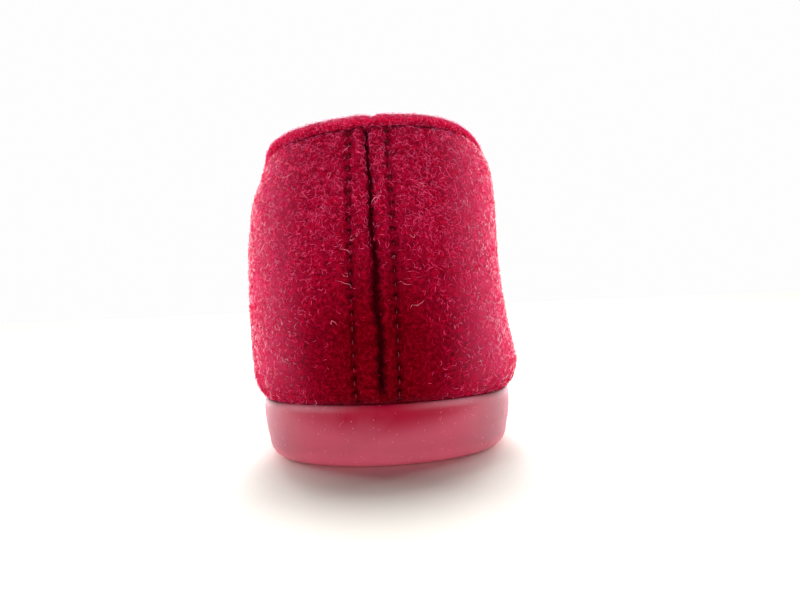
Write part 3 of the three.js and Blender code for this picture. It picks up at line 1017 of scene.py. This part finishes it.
def spindle(name, points, sides):
    """A thin closed object, not yet in the scene, from a tip, rings of points and a tip."""
    last = len(points) - 1
    turns = [(k, (k + 1) % sides) for k in range(sides)]
    faces = [(0, 1 + n, 1 + k) for k, n in turns]
    for low in range(1, last - sides, sides):
        faces += [(low + k, low + n, low + sides + n, low + sides + k) for k, n in turns]
    faces += [(last - sides + k, last - sides + n, last) for k, n in turns]
    mesh = bpy.data.meshes.new(name)
    mesh.from_pydata((np.array(points) * MM).tolist(), [], faces)
    return bpy.data.objects.new(name, mesh)


print("random seeds are fixed, so every run grows the same hairs")

# %% [markdown]
# ## Stitches
# Each row is one thread that dips into a pit and comes out again. Only the short lengths on top show,
# just below each hole. The row is a curve laid along the trough, and a small capsule is set on it at
# every stitch, turned along the curve.

# %% Stitch tree
stitch_tree, stitch_in, stitch_out = geometry_tree(
    "stitch_row", {"Pitch": "Float", "Thread": "Object", "Finish": "Material"}
)
along = {"Curve": stitch_in["Geometry"], "Length": stitch_in["Pitch"]}
beads = add_node(stitch_tree, "GeometryNodeCurveToPoints", along, mode="LENGTH").outputs
pointing = {"Vector": beads["Tangent"]}
along_row = add_node(stitch_tree, "FunctionNodeAlignRotationToVector", pointing, axis="Z")
thread_info = add_node(stitch_tree, "GeometryNodeObjectInfo", {"Object": stitch_in["Thread"]})
sew = add_node(stitch_tree, "GeometryNodeInstanceOnPoints", {
    "Points": beads["Points"], "Instance": thread_info.outputs["Geometry"],
    "Rotation": along_row.outputs["Rotation"],
})
end_tree(stitch_tree, sew.outputs["Instances"], stitch_in["Finish"], stitch_out)
print("stitch tree has", len(stitch_tree.nodes), "nodes")

# %% Stitches
THREAD = Values(length=1.2, thick=0.22, turns=8, rings=6, fullness=0.6)
THREAD_PLACE = Values(below_hole=1.05, first_hole=1.5, last_hole=0.5, points_a_pitch=6)
THREAD_SINK = Values(low=0.42, high=0.85, between=(24.0, 50.0))
THREAD_RED = rgb(112, 10, 30)


def capsule(name, made):
    """A round-ended thread along Z."""
    lat = np.linspace(-np.pi / 2, np.pi / 2, made.rings + 1)
    lon = np.arange(made.turns) / made.turns * 2 * np.pi
    high = made.length / 2 * np.sin(lat)
    wide = made.thick / 2 * np.cos(lat) ** made.fullness
    points = [(0.0, 0.0, high[0])]
    for h, w in zip(high[1:-1], wide[1:-1]):
        points += [(w * math.cos(a), w * math.sin(a), h) for a in lon]
    return spindle(name, [*points, (0.0, 0.0, high[-1])], made.turns)


def stitch_curve(name, side):
    """A curve up the trough at a distance from the seam, starting below the lowest hole."""
    column = np.argmin(np.abs(from_seam - side))
    rise = smoothstep(outer[:, column, 2], *THREAD_SINK.between)
    sink = lerp(THREAD_SINK.low, THREAD_SINK.high, rise)
    line = outer[:, column] - outer_normal[:, column] * sink[:, None]
    start = STITCH_PITCH * THREAD_PLACE.first_hole - THREAD_PLACE.below_hole
    stop = arc_up[-1] - STITCH_PITCH * THREAD_PLACE.last_hole
    arc = np.arange(start, stop, STITCH_PITCH / THREAD_PLACE.points_a_pitch)
    points = np.stack([np.interp(arc, arc_up, line[:, axis]) for axis in range(3)], axis=-1)
    data = bpy.data.curves.new(name, "CURVE")
    data.dimensions = "3D"
    spline = data.splines.new("POLY")
    spline.points.add(len(points) - 1)
    flat = np.append(in_frame(points), np.ones((len(points), 1)), axis=1)
    spline.points.foreach_set("co", flat.ravel())
    return new_object(name, data)


thread = capsule("thread", THREAD)
scene.collection.objects.link(thread)
thread_finish, _, _ = new_material("stitch_thread", base_color=THREAD_RED, roughness=0.8)
sewing = {"Pitch": STITCH_PITCH * MM, "Thread": thread, "Finish": thread_finish}
for row_name, side in STITCH_ROWS.items():
    stitches = grow(row_name + "_stitches", stitch_curve(row_name + "_row", side), stitch_tree, sewing)
    hand_over(stitches, "crimson_felt")
bpy.data.objects.remove(thread)

# %% [markdown]
# ## Hairs of the felt
# Loose wool hairs lie over the felt in curls a couple of millimetres long. They are too thick and too
# scattered for a bump map, so they are real: closed, tapered, three-sided curls. A handful of different
# hairs is enough, because the tree picks one at random for each point, spins it, tips it and scales it.

# %% Hair shapes
STRAND = Values(segments=4, sides=3, thick=0.09, taper=0.4, root=0.04)
CHANCE = Values(turn=(0.3, 1.7), wave=(0.3, 1.1), length=(0.7, 1.25), free_end=0.5)
HAIR = Values(kinds=16, seed=40, length=1.7, lift=0.42, curl=2.2)


def hair(name, seed, made):
    """One wool hair lying along X about its middle."""
    rng = np.random.default_rng(seed)
    t = np.linspace(0, 1, STRAND.segments + 1)
    turn = made.curl * rng.uniform(*CHANCE.turn) * rng.choice((-1, 1))
    heading = turn * (t - 0.5) + rng.uniform(*CHANCE.wave) * np.sin(2 * np.pi * (t + rng.random()))
    step = made.length * rng.uniform(*CHANCE.length) / STRAND.segments
    line = np.zeros((len(t), 3))
    line[1:, 0] = np.cumsum(np.cos(heading[1:])) * step
    line[1:, 1] = np.cumsum(np.sin(heading[1:])) * step
    line -= line.mean(axis=0)
    free_end = rng.random() < CHANCE.free_end
    line[:, 2] = made.lift * (t if free_end else np.sin(np.pi * t)) - STRAND.root
    points = [line[0]]
    for k in range(1, len(t) - 1):
        side = np.array((-math.sin(heading[k]), math.cos(heading[k]), 0.0))
        thick = STRAND.thick / 2 * (1 - STRAND.taper * abs(2 * t[k] - 1))
        for corner in range(STRAND.sides):
            angle = math.tau * corner / STRAND.sides
            points.append(line[k] + thick * (side * math.cos(angle) + np.array((0, 0, math.sin(angle)))))
    return spindle(name, [*points, line[-1]], STRAND.sides)


def basket_of(name, made):
    """A collection of different hairs for the tree to pick from."""
    basket = bpy.data.collections.new(name)
    scene.collection.children.link(basket)
    for kind in range(made.kinds):
        basket.objects.link(hair("%s_%d" % (name, kind), made.seed + kind, made))
    return basket


wool = basket_of("hair", HAIR)

# %% Nap tree
# A number picked past the last kind wraps round to the first kinds again.
LARGEST_PICK = 64

nap_tree, nap_in, nap_out = geometry_tree("nap", {
    "Density": "Float", "Seed": "Int", "Tip": "Vector", "Smallest": "Float", "Largest": "Float",
    "Hairs": "Collection", "Finish": "Material",
})


def random_value(kind, low, high):
    """A random value for each point of the nap; low and high are numbers or sockets."""
    first = {"FLOAT_VECTOR": 0, "FLOAT": 2, "INT": 4}[kind]
    inputs = {first: low, first + 1: high, "Seed": nap_in["Seed"]}
    node = add_node(nap_tree, "FunctionNodeRandomValue", inputs, data_type=kind)
    return next(out for out in node.outputs if out.enabled)


nap_map = add_node(nap_tree, "GeometryNodeInputNamedAttribute", {"Name": "nap"}, data_type="FLOAT")
scatter = add_node(nap_tree, "GeometryNodeDistributePointsOnFaces", {
    "Mesh": nap_in["Geometry"], "Seed": nap_in["Seed"],
    "Density": maths(nap_tree, "MULTIPLY", nap_in["Density"], nap_map.outputs["Attribute"]),
}).outputs
hair_info = add_node(nap_tree, "GeometryNodeCollectionInfo", {
    "Collection": nap_in["Hairs"], "Separate Children": True, "Reset Children": True,
})
other_way = {0: nap_in["Tip"], 1: (-1.0, -1.0, 0.0)}
back_tip = add_node(nap_tree, "ShaderNodeVectorMath", other_way, operation="MULTIPLY").outputs[0]
turn = {"Euler": random_value("FLOAT_VECTOR", back_tip, nap_in["Tip"])}
tip = add_node(nap_tree, "FunctionNodeEulerToRotation", turn).outputs["Rotation"]
turned = {"Rotation": scatter["Rotation"], "Rotate By": tip}
spin = add_node(nap_tree, "FunctionNodeRotateRotation", turned, rotation_space="LOCAL")
plant = add_node(nap_tree, "GeometryNodeInstanceOnPoints", {
    "Points": scatter["Points"], "Instance": hair_info.outputs["Instances"], "Pick Instance": True,
    "Instance Index": random_value("INT", 0, LARGEST_PICK), "Rotation": spin.outputs["Rotation"],
    "Scale": random_value("FLOAT", nap_in["Smallest"], nap_in["Largest"]),
})
end_tree(nap_tree, plant.outputs["Instances"], nap_in["Finish"], nap_out)
print("nap tree has", len(nap_tree.nodes), "nodes")

# %% [markdown]
# ## Planting the hairs
# The hairs grow on beds, which are open copies of the faces they cover. A painted map gathers them in
# loose clumps and thins them where the heel is rubbed, in the groove and in the needle holes. Pale,
# pink and red hairs are planted in separate passes so that each piece keeps one plain colour. The
# palest ones, which let light through, stand where the heel turns to the sides and along the top of
# the binding.

# %% Beds and wool
PER_SQUARE_MM = 1e6
NAP_TIP = (0.25, 0.25, math.tau)
INSIDE_HEEL = (middle_x, 60.0, 30.0)
LET_THROUGH = {"subsurface_weight": 1.0, "subsurface_scale": 0.0015, "subsurface_radius": (1.0, 0.6, 0.7)}


def wool_material(name, colour, **more):
    return new_material(name, base_color=colour, roughness=0.9, specular_ior_level=0.05, **more)[0]


def plant_hairs(name, slot, points, nap, hairs, per_square_mm, sizes, finish, seed, inside=INSIDE_HEEL):
    """Grows hairs on an open bed of faces with a map of how thick they stand, and hands them over."""
    bed = grid_piece(name + "_bed", points, SHEET, None, inside)
    paint_on(bed, nap=nap)
    values = {
        "Density": per_square_mm * PER_SQUARE_MM, "Seed": seed, "Tip": NAP_TIP,
        "Smallest": sizes[0], "Largest": sizes[1], "Hairs": hairs, "Finish": finish,
    }
    hand_over(grow(name, bed, nap_tree, values), slot)


pale_wool = wool_material("pale_hair", rgb(255, 88, 142))
pink_wool = wool_material("pink_hair", rgb(230, 6, 70))
red_wool = wool_material("red_hair", rgb(176, 4, 44))
halo_wool = wool_material("halo_hair", rgb(255, 124, 166), **LET_THROUGH)
print("wool:", pale_wool.name, pink_wool.name, red_wool.name, halo_wool.name)

# %% Hairs of the heel and the sides
CLUMP = Values(wave=1.7, amount=1.35)
BARE_SPREAD = 1.3
# Pale hairs stand thicker higher up the heel, as painted light from above, and thin out towards the sides.
PALE_NAP = Values(share=(0.6, 1.25), height=(25.0, 75.0), fades=(32.0, 50.0))
PINK_RUBBED = 0.93
HEEL_HALF, OVERLAP = 50.0, 1.0
WALL_SIZES = (0.55, 1.25)

clear = 1 - np.clip(BARE_SPREAD * bare, 0, 1)
loose = np.clip(1 + CLUMP.amount * slow_noise(outer, CLUMP.wave), 0, None) * clear
# Thicker pale hairs higher up: painted light.
top_light = lerp(*PALE_NAP.share, smoothstep(outer_z, *PALE_NAP.height))
at_back = 1 - smoothstep(np.abs(sides), *PALE_NAP.fades)
nap_maps = {
    "pale": top_light * loose * (1 - rub) ** 2 * at_back,
    "pink": loose * (1 - PINK_RUBBED * rub),
    "red": loose,
    "halo": loose * halo,
}
heel = np.abs(from_seam) < HEEL_HALF
in_halo = (np.abs(from_seam) > HALO.starts[0]) & (np.abs(from_seam) < HALO.ends[1])
# Each bed has its columns, hairs to the square millimetre, their sizes, their wool and a seed.
BEDS = {
    "heel_pale": (heel, 1.7, WALL_SIZES, pale_wool, 1),
    "heel_pink": (heel, 1.9, WALL_SIZES, pink_wool, 2),
    "outer_red": (from_seam >= HEEL_HALF - OVERLAP, 0.45, WALL_SIZES, red_wool, 3),
    "inner_red": (from_seam <= OVERLAP - HEEL_HALF, 0.45, WALL_SIZES, red_wool, 4),
    "outer_halo": (in_halo & (from_seam > 0), 1.1, WALL_SIZES, halo_wool, 8),
    "inner_halo": (in_halo & (from_seam < 0), 1.1, WALL_SIZES, halo_wool, 9),
}
for name, (columns, *planting) in BEDS.items():
    nap = nap_maps[name.split("_")[1]][:, columns]
    plant_hairs(name + "_hairs", "crimson_felt", outer_face[:, columns], nap, wool, *planting)

# %% Hairs of the binding
ROLL_NAP = Values(thins=(50.0, 75.0), away=0.25)
# Each bed has its rows round the roll, then the same values as a bed of the wall.
ROLL_BEDS = {
    "binding_halo": (range(0, 8), 4.6, (0.8, 1.5), halo_wool, 5),
    "binding_pale": (range(-5, 4), 2.4, (0.5, 1.0), pale_wool, 6),
}

roll_nap = lerp(1.0, ROLL_NAP.away, smoothstep(np.abs(from_seam), *ROLL_NAP.thins))
roll_inside = roll_middle[len(around) // 2]
for name, (rows_used, *planting) in ROLL_BEDS.items():
    points = roll_grid.take(rows_used, axis=0, mode="wrap")
    nap = np.repeat(roll_nap[None], len(points), axis=0)
    plant_hairs(name + "_hairs", "binding_felt", points, nap, wool, *planting, roll_inside)

# %% [markdown]
# ## Lint
# A few longer curls have worked loose from the felt, and short ends of them have stuck to the rubber.
# The same tree plants them, only much thinner on the ground.

# %% Lint
LINT = Values(kinds=8, seed=90, length=3.0, lift=0.5, curl=3.2)
LINT_REACH = 60.0

lint_wool = wool_material("lint", rgb(255, 150, 176))
loose_wool = basket_of("lint", LINT)
side_first = len(bottom) + EDGE_TURNS // 2
side_last = len(bottom) + EDGE_TURNS + SIDE_ROWS + LIP_TURNS
sole_side = sole_grid[side_first:side_last][:, seam_side[0] < LINT_REACH]
# Each bed has its slot and its points, then the same values again.
LINT_BEDS = {
    "felt_lint": ("crimson_felt", outer_face[:, heel], 0.01, (0.9, 1.5), lint_wool, 11),
    "sole_lint": ("rose_rubber", sole_side, 0.12, (0.25, 0.75), lint_wool, 12),
}
for name, (slot, points, *planting) in LINT_BEDS.items():
    plant_hairs(name, slot, points, np.ones(points.shape[:2]), loose_wool, *planting)

for basket in (wool, loose_wool):
    for template in list(basket.objects):
        bpy.data.objects.remove(template)
    bpy.data.collections.remove(basket)
